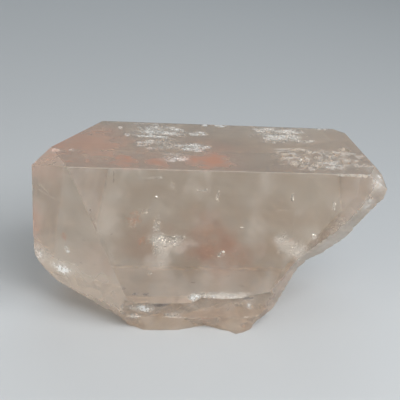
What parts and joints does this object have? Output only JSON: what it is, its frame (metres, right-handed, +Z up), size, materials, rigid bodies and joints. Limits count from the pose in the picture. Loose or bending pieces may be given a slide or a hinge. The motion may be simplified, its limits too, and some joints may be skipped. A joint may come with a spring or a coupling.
{
  "type": "topaz crystal",
  "caption": "Rough clear topaz crystal with flat prism faces, broken lower corners and a ledge, lying on one long face",
  "frame": {"origin": "middle of the bounding box at the level of the base, which rests on the surface", "axes": "+X along the crystal's long axis toward the broken right tip, +Y toward the back, +Z up"},
  "size_m": [0.075, 0.0374, 0.0375],
  "materials": {
    "topaz": "clear natural crystal with a faint warm beige body colour, glassy flat faces and rougher broken ones"
  },
  "bodies": {
    "root": {"topaz_crystal": "topaz"}
  },
  "joints": []
}
